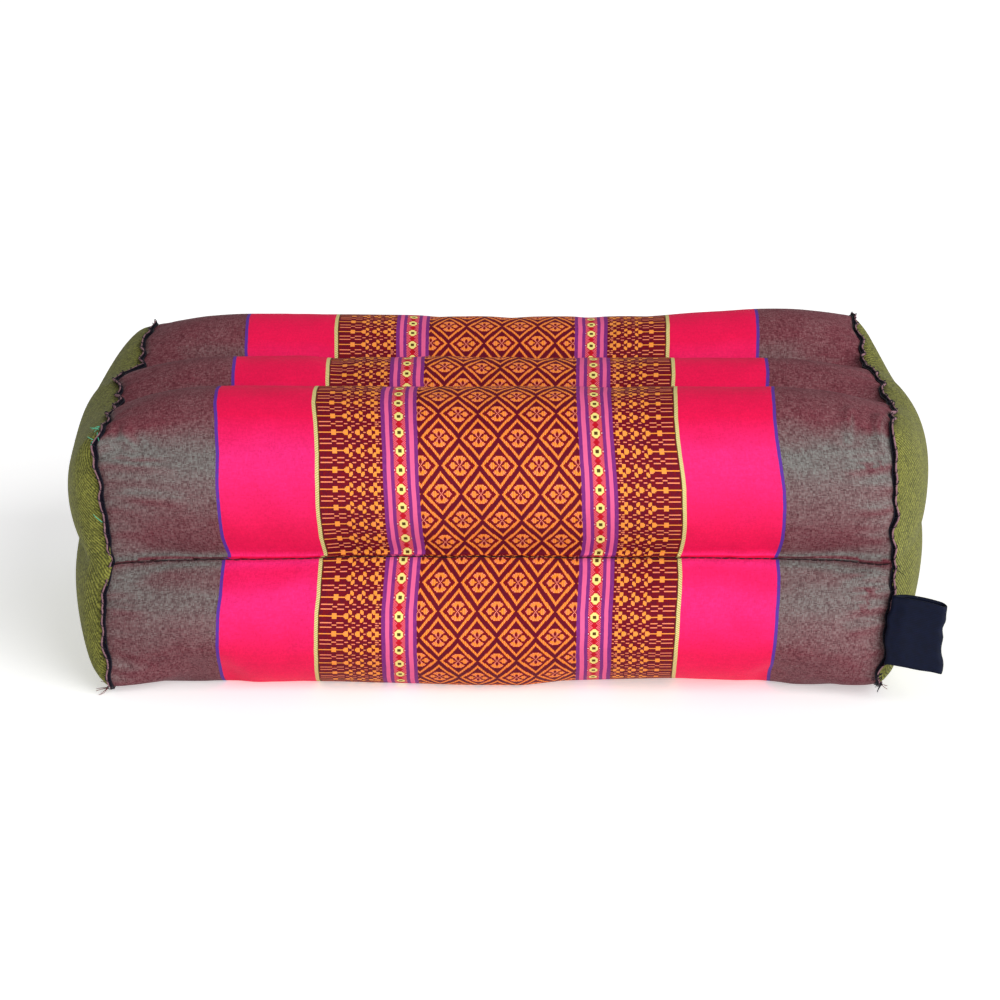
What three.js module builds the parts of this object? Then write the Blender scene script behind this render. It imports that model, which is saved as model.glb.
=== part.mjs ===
// A block cushion to sit on: six stuffed tubes, three deep and two high, wrapped in one woven cover.
// The cover is sewn down where the tubes meet, and a plain cloth panel closes each end.
// Millimetres, +Z up, +X along the tubes, the front towards -Y, the floor at z = 0.
import * as THREE from "three";

const CLEAR = 0.3; // space between two sewn pieces
const SEAM_HALF = 157; // from the middle of the cushion to an end seam, over the crown of a tube
const TAPER = 52; // length over which a tube falls to its end seam
const FLOOR = 0; // height of the strips the cushion rests on

// The tubes in the order the cover passes over them: centre and radii of each oval, halfway along.
const TUBES = [
  { name: "front_low", y: -58, z: 31.5, ry: 36, rz: 33.8 },
  { name: "front_high", y: -56, z: 86, ry: 34, rz: 35 },
  { name: "top_mid", y: 0, z: 86, ry: 30, rz: 32 },
  { name: "back_high", y: 56, z: 86, ry: 34, rz: 35.3 },
  { name: "back_low", y: 58, z: 31.5, ry: 36, rz: 33.8 },
  { name: "base_mid", y: 0, z: 31.5, ry: 31, rz: 33.8 },
];
// The side that each channel opens to, in degrees from +Y, channel 0 lying before tube 0.
const CHANNEL_FACES = [-90, 180, 90, 90, 0, -90];

// The end seams: heights of the two top corners and of the channels between them, how far the sewing
// draws a channel in along X, and how far the cloth swells past the seam. The swell peaks a little
// above the middle (peak), falls to the sides, top and base by its own power and ease, leans to the
// front or back, and loses the share crease where the two rows meet.
const ENDS = [
  {
    name: "end_panel_left",
    side: -1,
    frontTop: 111,
    backTop: 115,
    dip: 105.5,
    drawn: 4,
    swell: 25.8,
    peak: 0.17,
    lean: 0.19,
    crease: 0.22,
    creaseWide: 0.26,
    sides: { power: 2.85, ease: 0.5 },
    top: { power: 2.45, ease: 0.7 },
    base: { power: 2.95, ease: 1 },
  },
  {
    name: "end_panel_right",
    side: 1,
    frontTop: 113.5,
    backTop: 120.5,
    dip: 109,
    drawn: 1,
    swell: 21.1,
    peak: 0.14,
    lean: -0.13,
    crease: 0.1,
    creaseWide: 0.17,
    sides: { power: 1.95, ease: 1.2 },
    top: { power: 2.95, ease: 0.7 },
    base: { power: 3, ease: 0.7 },
  },
];
const END_HALF_TOP = 83; // half depth of the end seam at its top corners
const END_HALF_BASE = 88; // and at its bottom corners
const END_BASE = 0.8; // height of the bottom edge
const END_CHANNEL = { y: 27, side: 81, z: 57.5, base: 6 }; // where the channels meet the end seam
const TOP_PULL = 7; // weights that draw the end seam into its top corners
const BASE_PULL = 10; // and into its bottom ones
const BACK_RISE = 4.5; // the back tube stands higher towards its right end
const BASE_SPREAD = 2; // how much sooner the bottom corners spread towards an end

const PANEL = 1.6; // end cloth
const EDGE = 3; // seam allowance turned outwards
const EDGE_TILT = 42; // its lean towards the end, in degrees
const EDGE_TILT_BASE = 60; // and along the bottom, where the floor turns it up

// The label: a ribbon folded double and caught in the right front seam
const RIBBON = { cloth: 1, wide: 28, out: 22, gap: 3, low: 17.5, droop: 3, lean: -3.5 };

// Segments over half a corner tube upright, half a corner tube level, and a middle tube
const UP = 6;
const LEVEL = 5;
const MID = 8;
const STATIONS = 24;
const STRETCHES = 120; // rounds of pulling the end cloth smooth
const ROWS = 2 * UP;
const COLS = 2 * LEVEL + MID;

const rad = THREE.MathUtils.degToRad;
const mix = THREE.MathUtils.lerp;

function onOval(tube, angle) {
  const y = tube.y + tube.ry * Math.cos(angle);
  const z = tube.z + tube.rz * Math.sin(angle);
  return { y, z };
}

function angleOn(tube, p) {
  return Math.atan2((p.z - tube.z) / tube.rz, (p.y - tube.y) / tube.ry);
}

// Where two neighbouring ovals cross on the given face: the channel between them.
function channel(index) {
  const a = TUBES[(index + TUBES.length - 1) % TUBES.length];
  const b = TUBES[index];
  let outer = rad(CHANNEL_FACES[index]);
  const turn = Math.atan2(b.z - a.z, b.y - a.y) - outer;
  let inner = outer + Math.atan2(Math.sin(turn), Math.cos(turn));
  for (let i = 0; i < 40; i += 1) {
    const half = (outer + inner) / 2;
    const p = onOval(a, half);
    const away = Math.hypot((p.y - b.y) / b.ry, (p.z - b.z) / b.rz);
    if (away > 1) outer = half;
    else inner = half;
  }
  return onOval(a, outer);
}
const CHANNELS = TUBES.map((tube, index) => channel(index));

// Halfway along the cushion: a point on a tube's outer arc, share 0 to 1 from channel to channel.
function atMiddle(index, share) {
  const tube = TUBES[index];
  const from = angleOn(tube, CHANNELS[index]);
  let to = angleOn(tube, CHANNELS[(index + 1) % TUBES.length]);
  while (to > from) to -= 2 * Math.PI;
  const p = onOval(tube, mix(from, to, share));
  return { y: p.y, z: Math.max(FLOOR, p.z) };
}

// At an end seam: the same arc drawn straight between its channels, or out into the corner.
function atEnd(end, index, share) {
  const c = END_CHANNEL;
  const stops = [
    { y: -c.y, z: c.base },
    { y: -c.side, z: c.z },
    { y: -c.y, z: end.dip },
    { y: c.y, z: end.dip },
    { y: c.side, z: c.z },
    { y: c.y, z: c.base },
  ];
  const bends = [
    { y: -END_HALF_BASE, z: END_BASE, pull: BASE_PULL },
    { y: -END_HALF_TOP, z: end.frontTop, pull: TOP_PULL },
    { y: 0, z: end.dip + 2, pull: 1 },
    { y: END_HALF_TOP, z: end.backTop, pull: TOP_PULL },
    { y: END_HALF_BASE, z: END_BASE, pull: BASE_PULL },
    { y: 0, z: END_BASE, pull: 1 },
  ];
  const from = stops[index];
  const to = stops[(index + 1) % stops.length];
  const bend = bends[index];
  const w0 = (1 - share) ** 2;
  const w1 = 2 * share * (1 - share) * bend.pull;
  const w2 = share ** 2;
  const all = w0 + w1 + w2;
  const y = (from.y * w0 + bend.y * w1 + to.y * w2) / all;
  const z = (from.z * w0 + bend.z * w1 + to.z * w2) / all;
  return { y, z };
}

// The steps round the cover, from the bottom front corner up the front, back over the top and round.
const STEPS = [];
function pass(index, from, to, count) {
  for (let i = 0; i < count; i += 1) STEPS.push({ index, share: mix(from, to, i / count) });
}
pass(0, 0.5, 1, UP);
pass(1, 0, 0.5, UP);
pass(1, 0.5, 1, LEVEL);
pass(2, 0, 1, MID);
pass(3, 0, 0.5, LEVEL);
pass(3, 0.5, 1, UP);
pass(4, 0, 0.5, UP);
pass(4, 0.5, 1, LEVEL);
pass(5, 0, 1, MID);
pass(0, 0, 0.5, LEVEL);

// A point on the cover: along runs from -1 at the left seam to 1 at the right one.
function onCover(along, step) {
  const end = ENDS[along < 0 ? 0 : 1];
  const fall = 1 - Math.min(1, (SEAM_HALF * (1 - Math.abs(along))) / TAPER);
  const low = cornerShare(step);
  const full = Math.sqrt(1 - fall ** 2) ** (1 + BASE_SPREAD * low);
  const middle = atMiddle(step.index, step.share);
  const last = atEnd(end, step.index, step.share);
  const drawn = end.drawn * (1 - Math.sin(Math.PI * step.share));
  const rise = step.index === 3 ? BACK_RISE * Math.sin(Math.PI * step.share) ** 2 : 0;
  return new THREE.Vector3(
    along * (SEAM_HALF - drawn),
    mix(last.y, middle.y, full),
    mix(last.z, middle.z + rise * THREE.MathUtils.smoothstep(along, 0.25, 0.85), full),
  );
}

// How near a step is to a bottom corner, from 0 to 1.
function cornerShare(step) {
  if (step.index === 0) return Math.exp(-(((step.share - 0.42) / 0.2) ** 2));
  if (step.index === 4) return Math.exp(-(((step.share - 0.58) / 0.2) ** 2));
  return 0;
}

function seamRing(end) {
  return STEPS.map((step) => onCover(end.side, step));
}

// The stuffed end inside a seam ring, as rows of points from the bottom edge up: a skin stretched
// across the ring, then swollen.
function endSurface(end) {
  const ring = seamRing(end);
  const size = ring.length;
  const front = (r) => ring[r];
  const top = (c) => ring[ROWS + c];
  const back = (r) => ring[ROWS + COLS + ROWS - r];
  const base = (c) => ring[(size - c) % size];
  const rows = [];
  for (let r = 0; r <= ROWS; r += 1) {
    const row = [];
    for (let c = 0; c <= COLS; c += 1) {
      const u = c / COLS;
      const v = r / ROWS;
      const p = new THREE.Vector3();
      p.addScaledVector(base(c), 1 - v).addScaledVector(top(c), v);
      p.addScaledVector(front(r), 1 - u).addScaledVector(back(r), u);
      p.addScaledVector(front(0), -(1 - u) * (1 - v)).addScaledVector(back(0), -u * (1 - v));
      p.addScaledVector(front(ROWS), -(1 - u) * v).addScaledVector(back(ROWS), -u * v);
      row.push(p);
    }
    rows.push(row);
  }
  for (let sweep = 0; sweep < STRETCHES; sweep += 1) {
    for (let r = 1; r < ROWS; r += 1) {
      for (let c = 1; c < COLS; c += 1) {
        const p = rows[r][c].copy(rows[r - 1][c]).add(rows[r + 1][c]);
        p.add(rows[r][c - 1]).add(rows[r][c + 1]).multiplyScalar(0.25);
      }
    }
  }
  rows.forEach((row, r) =>
    row.forEach((p, c) => {
      p.x += end.side * swellAt(end, (2 * c) / COLS - 1, (2 * r) / ROWS - 1);
    }),
  );
  return rows;
}

// How far the end stands out: a soft dome, creased where the two rows meet and most at the front.
function swellAt(end, u, v) {
  const above = v - end.peak;
  const reach = above > 0 ? above / (1 - end.peak) : -above / (1 + end.peak);
  const fall = above > 0 ? end.top : end.base;
  const upright = Math.max(0, 1 - reach ** fall.power) ** fall.ease;
  const level = Math.max(0, 1 - Math.abs(u) ** end.sides.power) ** end.sides.ease;
  const front = 0.35 + 0.65 * Math.exp(-(((u + 0.75) / 0.6) ** 2));
  const row = end.crease * front * Math.exp(-((v / end.creaseWide) ** 2));
  return end.swell * upright * level * (1 + end.lean * u) * (1 - row);
}

class Shell {
  constructor() {
    this.points = [];
    this.faces = [];
  }
  add(p) {
    this.points.push(p.x, p.y, p.z);
    return this.points.length / 3 - 1;
  }
  addAll(list) {
    return list.map((p) => this.add(p));
  }
  // A skin between two lists of equal length; closed joins their ends.
  skin(a, b, closed, flip) {
    const count = closed ? a.length : a.length - 1;
    for (let i = 0; i < count; i += 1) {
      const j = (i + 1) % a.length;
      if (flip) this.faces.push(a[i], b[j], a[j], a[i], b[i], b[j]);
      else this.faces.push(a[i], a[j], b[j], a[i], b[j], b[i]);
    }
  }
  geometry() {
    const made = new THREE.BufferGeometry();
    made.setAttribute("position", new THREE.Float32BufferAttribute(this.points, 3));
    made.setIndex(this.faces);
    made.computeVertexNormals();
    return made;
  }
}

// The rows of an end surface as vertex numbers, its border taken from the ring it is sewn to.
function fillEnd(shell, rows, ring, flip) {
  const size = ring.length;
  const numbers = rows.map((row, r) =>
    row.map((p, c) => {
      if (c === 0) return ring[r];
      if (r === ROWS) return ring[ROWS + c];
      if (c === COLS) return ring[ROWS + COLS + ROWS - r];
      if (r === 0) return ring[size - c];
      return shell.add(p);
    }),
  );
  for (let r = 0; r < ROWS; r += 1) shell.skin(numbers[r], numbers[r + 1], false, flip);
}

function cushionBody() {
  const shell = new Shell();
  const rings = [];
  for (let i = 0; i <= STATIONS; i += 1) {
    const along = Math.sin((Math.PI / 2) * mix(-1, 1, i / STATIONS));
    rings.push(shell.addAll(STEPS.map((step) => onCover(along, step))));
  }
  for (let i = 0; i < STATIONS; i += 1) shell.skin(rings[i], rings[i + 1], true, true);
  fillEnd(shell, endSurface(ENDS[0]), rings[0], true);
  fillEnd(shell, endSurface(ENDS[1]), rings[STATIONS], false);
  return shell.geometry();
}

// The way the seam allowance stands at a ring point, and the way its thickness is laid.
function edgeFrame(end, ring, i) {
  const size = ring.length;
  const before = ring[(i + size - 1) % size];
  const after = ring[(i + 1) % size];
  const out = new THREE.Vector3(0, before.z - after.z, after.y - before.y).normalize();
  const down = THREE.MathUtils.smoothstep(-out.z, 0.2, 0.8);
  const tilt = rad(mix(EDGE_TILT, EDGE_TILT_BASE, down));
  const away = out.clone().multiplyScalar(Math.cos(tilt));
  away.x = end.side * Math.sin(tilt);
  const thick = out.clone().multiplyScalar(-Math.sin(tilt));
  thick.x = end.side * Math.cos(tilt);
  return { away, thick, down };
}

// A line along the allowance; further is added to its reach where it lies along the bottom.
function edgePoints(end, along, across, further = 0) {
  const ring = seamRing(end);
  return ring.map((p, i) => {
    const { away, thick, down } = edgeFrame(end, ring, i);
    return p.clone().addScaledVector(away, along + further * down).addScaledVector(thick, across);
  });
}

// Offsets the inside of an end surface along its own normals, a little further into the corners.
function offsetRows(end, distance) {
  const rows = endSurface(end);
  return rows.map((row, r) =>
    row.map((p, c) => {
      const left = rows[r][Math.max(0, c - 1)];
      const right = rows[r][Math.min(COLS, c + 1)];
      const low = rows[Math.max(0, r - 1)][c];
      const high = rows[Math.min(ROWS, r + 1)][c];
      const across = right.clone().sub(left);
      const up = high.clone().sub(low);
      const normal = across.cross(up).normalize().multiplyScalar(end.side);
      const corner = ((2 * c) / COLS - 1) ** 2 * ((2 * r) / ROWS - 1) ** 2;
      return p.clone().addScaledVector(normal, distance + CLEAR * corner);
    }),
  );
}

function endPanel(end) {
  const shell = new Shell();
  const inside = shell.addAll(edgePoints(end, CLEAR + 0.15, 0));
  const tipIn = shell.addAll(edgePoints(end, CLEAR + EDGE, 0));
  const tipOut = shell.addAll(edgePoints(end, CLEAR + EDGE, PANEL));
  const outside = shell.addAll(edgePoints(end, CLEAR + 1.5, PANEL, 1.2));
  const right = end.side > 0;
  shell.skin(inside, tipIn, true, right);
  shell.skin(tipIn, tipOut, true, right);
  shell.skin(tipOut, outside, true, right);
  fillEnd(shell, offsetRows(end, CLEAR + 0.15), inside, right);
  fillEnd(shell, offsetRows(end, CLEAR + 0.15 + PANEL), outside, !right);
  return shell.geometry();
}

// The edge of the right front seam at a given height, where the ribbon is caught.
function ribbonRoot(height) {
  const end = ENDS[1];
  const tips = edgePoints(end, CLEAR + EDGE, PANEL).slice(0, ROWS + 1);
  for (let i = 0; i < ROWS; i += 1) {
    const a = tips[i];
    const b = tips[i + 1];
    if (height <= b.z || i === ROWS - 1) {
      return a.clone().lerp(b, (height - a.z) / (b.z - a.z));
    }
  }
  return tips[0];
}

// A ribbon folded double: its section seen from above, carried up its width.
function sideLabel() {
  const { cloth, wide, out, gap, low, droop, lean } = RIBBON;
  const outer = gap / 2 + cloth;
  const section = new THREE.Shape();
  section.moveTo(0, -cloth - 0.2);
  section.lineTo(4, -outer);
  section.lineTo(out - outer, -outer);
  section.absarc(out - outer, 0, outer, -Math.PI / 2, Math.PI / 2, false);
  section.lineTo(4, outer);
  section.lineTo(0, cloth + 0.2);
  section.lineTo(0, 0.2);
  section.lineTo(4, gap / 2);
  section.lineTo(out - outer, gap / 2);
  section.absarc(out - outer, 0, gap / 2, Math.PI / 2, -Math.PI / 2, true);
  section.lineTo(4, -gap / 2);
  section.lineTo(0, -0.2);
  section.closePath();
  const made = new THREE.ExtrudeGeometry(section, {
    depth: wide,
    steps: 4,
    bevelEnabled: false,
    curveSegments: 5,
  });
  made.deleteAttribute("normal");
  made.deleteAttribute("uv");
  const at = made.getAttribute("position");
  for (let i = 0; i < at.count; i += 1) {
    const along = at.getX(i);
    const height = low + at.getZ(i);
    const root = ribbonRoot(height);
    const share = along / out;
    const x = root.x + CLEAR + along;
    const y = root.y - 1.5 * cloth + at.getY(i) + lean * share ** 1.5;
    at.setXYZ(i, x, y, height - droop * share ** 2);
  }
  made.computeVertexNormals();
  return made;
}

function piece(name, geometry, colour) {
  const material = new THREE.MeshStandardMaterial({ color: colour, roughness: 0.85 });
  material.side = THREE.DoubleSide;
  const mesh = new THREE.Mesh(geometry, material);
  mesh.name = name;
  return mesh;
}

const cushion = new THREE.Group();
cushion.name = "block_cushion";
cushion.add(piece("cushion_body", cushionBody(), "#c8305f"));
ENDS.forEach((end) => cushion.add(piece(end.name, endPanel(end), "#75762f")));
cushion.add(piece("side_label", sideLabel(), "#151c35"));

export default cushion;
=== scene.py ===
"""A block cushion of six stuffed tubes in one handwoven cover, closed by a plain cloth at each end.

Sizes are in millimetres until a mesh is made. +X runs along the tubes and the front is towards -Y.
"""
import math
from functools import partialmethod

import bmesh
import bpy
import numpy as np
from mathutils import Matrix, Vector


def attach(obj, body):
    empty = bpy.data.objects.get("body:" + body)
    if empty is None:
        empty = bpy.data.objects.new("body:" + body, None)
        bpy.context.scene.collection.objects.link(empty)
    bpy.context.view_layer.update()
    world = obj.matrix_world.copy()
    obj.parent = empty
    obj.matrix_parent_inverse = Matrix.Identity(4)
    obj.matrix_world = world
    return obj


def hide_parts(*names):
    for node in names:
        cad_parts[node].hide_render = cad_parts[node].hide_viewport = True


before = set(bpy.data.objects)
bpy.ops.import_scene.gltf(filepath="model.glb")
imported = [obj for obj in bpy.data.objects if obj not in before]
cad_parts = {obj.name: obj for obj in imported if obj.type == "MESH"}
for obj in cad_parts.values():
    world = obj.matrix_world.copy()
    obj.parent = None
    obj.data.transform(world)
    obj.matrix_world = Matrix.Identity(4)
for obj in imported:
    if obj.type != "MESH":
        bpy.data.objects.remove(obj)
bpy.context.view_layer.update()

MM = 0.001

# The cushion's own sizes
SIDES = {-1: "left", 1: "right"}
SEAM_HALF = 157.0  # from the middle to an end seam, over the crown of a tube
TAPER = 52.0  # length over which a tube falls to its end seam
CLEAR = 0.3  # space between two sewn pieces
TUBES = [  # y, z, ry, rz of each oval halfway along
    (-58, 31.5, 36, 33.8),  # front low
    (-56, 86, 34, 35),  # front high
    (0, 86, 30, 32),  # top middle
    (56, 86, 34, 35.3),  # back high
    (58, 31.5, 36, 33.8),  # back low
    (0, 31.5, 31, 33.8),  # base middle
]
CHANNEL_FACES = [-90, 180, 90, 90, 0, -90]  # the side each channel opens to, in degrees from +Y
ENDS = {  # the two end seams, and how their cloth swells: (power, ease) of each fall from its peak
    -1: dict(
        front_top=111, back_top=115, dip=105.5, drawn=4, swell=22.4, peak=0.17, lean=0.19,
        crease=0.42, crease_wide=0.13, sides=(2.85, 0.5), top=(2.45, 0.7), base=(2.95, 1),
    ),
    1: dict(
        front_top=113.5, back_top=120.5, dip=109, drawn=1, swell=21.1, peak=0.14, lean=-0.13,
        crease=0.16, crease_wide=0.12, sides=(1.95, 1.2), top=(2.95, 0.7), base=(3, 0.7),
    ),
}
END_HALF_TOP = 83
END_HALF_BASE = 88
END_BASE = 0.8
END_CHANNEL = dict(y=27, side=81, z=57.5, base=6)
TOP_PULL = 7
BASE_PULL = 10
BACK_RISE = 4.5  # the back tube stands higher towards its right end
BASE_SPREAD = 2  # how much sooner the bottom corners spread towards an end
END_FALL = 0.6  # how blunt a tube is towards its end
CROWDED = 0.35  # how much closer the stations are towards the ends
EDGE = 3.0  # seam allowance turned outwards
EDGE_TILT = 34
EDGE_TILT_BASE = 60
RIBBON = dict(cloth=0.6, wide=28, out=22, gap=3.4, low=17.5, droop=3, lean=-3.5, at=(-2.7, -2.4))
FRONT_OF = -60  # the part of an end seam that shows from the front

# Steps over half a corner tube upright, half a corner tube level, a middle tube, and along X
UP, LEVEL, MID, STATIONS = 18, 18, 22, 92


def mix(a, b, share):
    return a + (b - a) * share


def smooth(x, low, high):
    x = np.clip((x - low) / (high - low), 0, 1)
    return x * x * (3 - 2 * x)


def bell(x, width):
    return np.exp(-((x / width) ** 2))


def domed(x, power, ease):
    return np.maximum(0, 1 - np.abs(x) ** power) ** ease


def waves(x, table):
    """A sum of uneven ripples: each row is length, height and phase."""
    return sum(h * np.sin(2 * math.pi * x / length + phase) for length, h, phase in table)


def wrapped(x, axis=0):
    """A closed row, with its first place again at its end."""
    return np.concatenate([x, x.take([0], axis)], axis=axis)


def unit(x):
    return x / np.maximum(np.linalg.norm(x, axis=-1, keepdims=True), 1e-9)


def run_of(line):
    """The length run along a line at each of its points."""
    return np.concatenate([[0], np.cumsum(np.linalg.norm(np.diff(line, axis=0), axis=1))])


def sampled(at, run, line, **wrap):
    """Points of a line where its run has the given values."""
    return np.stack([np.interp(at, run, line[:, k], **wrap) for k in range(line.shape[1])], axis=-1)


# The shape of the cover


def on_oval(tube, angle):
    y, z, ry, rz = TUBES[tube % 6]
    return np.array([y + ry * math.cos(angle), z + rz * math.sin(angle)])


def angle_on(tube, p):
    y, z, ry, rz = TUBES[tube % 6]
    return math.atan2((p[1] - z) / rz, (p[0] - y) / ry)


def channel(index):
    """Where two neighbouring ovals cross on the outside."""
    a, b = TUBES[index - 1], TUBES[index]
    outer = math.radians(CHANNEL_FACES[index])
    turn = math.atan2(b[1] - a[1], b[0] - a[0]) - outer
    inner = outer + math.atan2(math.sin(turn), math.cos(turn))
    for _ in range(40):
        half = (outer + inner) / 2
        p = on_oval(index - 1, half)
        if math.hypot((p[0] - b[0]) / b[2], (p[1] - b[1]) / b[3]) > 1:
            outer = half
        else:
            inner = half
    return on_oval(index - 1, outer)


CHANNELS = [channel(i) for i in range(6)]


def at_middle(tube, share):
    start = angle_on(tube, CHANNELS[tube])
    stop = angle_on(tube, CHANNELS[(tube + 1) % 6])
    while stop > start:
        stop -= 2 * math.pi
    y, z = on_oval(tube, mix(start, stop, share))
    return np.array([y, max(0.0, z)])


def end_line(side, tube):
    """One tube's part of an end seam: its curve, and the length run along it."""
    end, c = ENDS[side], END_CHANNEL
    stops = [(-c["y"], c["base"]), (-c["side"], c["z"]), (-c["y"], end["dip"])]
    stops += [(-y, z) for y, z in stops[::-1]]
    bends = [
        (-END_HALF_BASE, END_BASE, BASE_PULL),
        (-END_HALF_TOP, end["front_top"], TOP_PULL),
        (0, end["dip"] + 2, 1),
        (END_HALF_TOP, end["back_top"], TOP_PULL),
        (END_HALF_BASE, END_BASE, BASE_PULL),
        (0, END_BASE, 1),
    ]
    y, z, pull = bends[tube]
    t = np.linspace(0, 1, 401)
    weights = np.stack([(1 - t) ** 2, 2 * t * (1 - t) * pull, t**2], axis=-1)
    points = np.array([stops[tube], (y, z), stops[(tube + 1) % 6]], float)
    line = weights @ points / weights.sum(axis=1, keepdims=True)
    run = run_of(line)
    return t, line, run / run[-1]


def at_end(side, tube, share):
    t, line, run = end_line(side, tube)
    return sampled(share, run, line)


# Steps round the cover, beginning at the front channel and going up
STEPS = []
LOBES = []
for tube, counts in [
    (1, (UP, LEVEL)),
    (2, (MID // 2, MID // 2)),
    (3, (LEVEL, UP)),
    (4, (UP, LEVEL)),
    (5, (MID // 2, MID // 2)),
    (0, (LEVEL, UP)),
]:
    shares = list(np.linspace(0, 0.5, counts[0], endpoint=False))
    shares += list(np.linspace(0.5, 1, counts[1], endpoint=False))
    STEPS += [(tube, s) for s in shares]
    LOBES.append(sum(counts))


def cover_points():
    """The cover as stuffed, station by station and step by step round it."""
    middle = np.array([at_middle(*step) for step in STEPS])
    last = {side: np.array([at_end(side, *step) for step in STEPS]) for side in ENDS}
    index = np.array([tube for tube, _ in STEPS])
    share = np.array([share for _, share in STEPS])
    drawn = 1 - np.sin(math.pi * share)
    low = np.isin(index, (0, 4)) * bell(np.where(index == 0, share, 1 - share) - 0.42, 0.2)
    rise = np.where(index == 3, BACK_RISE * np.sin(math.pi * share) ** 2, 0)
    points = np.zeros((STATIONS + 1, len(STEPS), 3))
    for i in range(STATIONS + 1):
        along = mix(-1, 1, i / STATIONS)
        along = mix(along, math.sin(along * math.pi / 2), CROWDED)
        side = -1 if along < 0 else 1
        fall = 1 - min(1, SEAM_HALF * (1 - abs(along)) / TAPER)
        full = (1 - fall**2) ** (END_FALL * (1 + BASE_SPREAD * low))
        tall = middle + np.stack([np.zeros(len(rise)), rise * smooth(along, 0.25, 0.85)], axis=-1)
        points[i, :, 0] = along * (SEAM_HALF - ENDS[side]["drawn"] * drawn)
        points[i, :, 1:] = mix(last[side], tall, full[:, None])
    return points


# Cloth: the cover is cut a little full, held where it is sewn and blown out by its stuffing

CLOTH = dict(
    quality=6, mass=0.0004, air_damping=2, tension_stiffness=12, compression_stiffness=12,
    shear_stiffness=6, bending_stiffness=0.02, tension_damping=6, compression_damping=6,
    shear_damping=6, use_pressure=True, uniform_pressure_force=4, shrink_min=-0.011,
)
CLOTH_FRAMES = 20
CLOTH_CAP = 5.0  # the furthest that it may move a point
CLOTH_ENDS = 26  # length over which its movement dies away towards an end seam


def stuffed(points):
    stations, steps, _ = points.shape
    number = np.arange(stations * steps).reshape(stations, steps)
    body = mesh_piece("cloth_at_rest", points.reshape(-1, 3), grid_faces(wrapped(number, 1))[:, ::-1])
    mesh = body.data
    sewn = np.zeros((stations, steps), bool)
    sewn[[0, -1], :] = True
    sewn[:, np.cumsum([0] + LOBES[:-1])] = True
    group = body.vertex_groups.new(name="sewn")
    group.add(number[sewn].tolist(), 1.0, "REPLACE")
    cloth = body.modifiers.new("cloth", "CLOTH")
    cloth.settings.vertex_group_mass = "sewn"
    for key, value in CLOTH.items():
        setattr(cloth.settings, key, value)
    cloth.settings.effector_weights.gravity = 0
    cloth.collision_settings.use_collision = False
    cloth.point_cache.frame_start = 1
    cloth.point_cache.frame_end = CLOTH_FRAMES
    scene = bpy.context.scene
    for now in range(1, CLOTH_FRAMES + 1):
        scene.frame_set(now)
    seen = body.evaluated_get(bpy.context.evaluated_depsgraph_get()).to_mesh()
    moved = np.zeros(stations * steps * 3)
    seen.vertices.foreach_get("co", moved)
    moved = moved.reshape(points.shape) / MM
    bpy.data.objects.remove(body)
    bpy.data.meshes.remove(mesh)
    scene.frame_set(1)
    shift = moved - points
    reach = np.linalg.norm(shift, axis=-1, keepdims=True)
    shift *= np.minimum(1, CLOTH_CAP / np.maximum(reach, 1e-6))
    shift *= smooth(SEAM_HALF - np.abs(points[..., :1]), 0, CLOTH_ENDS)
    for _ in range(3):
        even = (np.roll(shift, 1, axis=1) + np.roll(shift, -1, axis=1)) / 4
        even[1:-1] += (shift[:-2] + shift[2:]) / 4
        shift = np.where(sewn[..., None], 0, mix(shift, even, 0.5))
    made = points + shift
    made[..., 2] = np.maximum(0, made[..., 2])
    return made


def doubled(points, axis):
    """Twice the steps along one axis, on a smooth line through the points."""
    p = np.moveaxis(points, axis, 0)
    inner = (9 * (p[1:-2] + p[2:-1]) - p[:-3] - p[3:]) / 16
    first = (3 * p[0] + 6 * p[1] - p[2]) / 8
    last = (3 * p[-1] + 6 * p[-2] - p[-3]) / 8
    half = np.concatenate([first[None], inner, last[None]])
    made = np.empty((2 * len(p) - 1,) + p.shape[1:])
    made[0::2] = p
    made[1::2] = half
    return np.moveaxis(made, 0, axis)


def refined(points):
    """Twice as fine both ways, sharp where the cover is sewn down."""
    points = doubled(points, 0)
    ring = wrapped(points, 1)
    parts = []
    start = 0
    for count in LOBES:
        parts.append(doubled(ring[:, start : start + count + 1], 1)[:, :-1])
        start += count
    return np.concatenate(parts, axis=1)


def outward(points):
    along = np.gradient(points, axis=0)
    ring = np.concatenate([points[:, -1:], points, points[:, :1]], axis=1)
    around = ring[:, 2:] - ring[:, :-2]
    return unit(np.cross(around, along))


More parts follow.
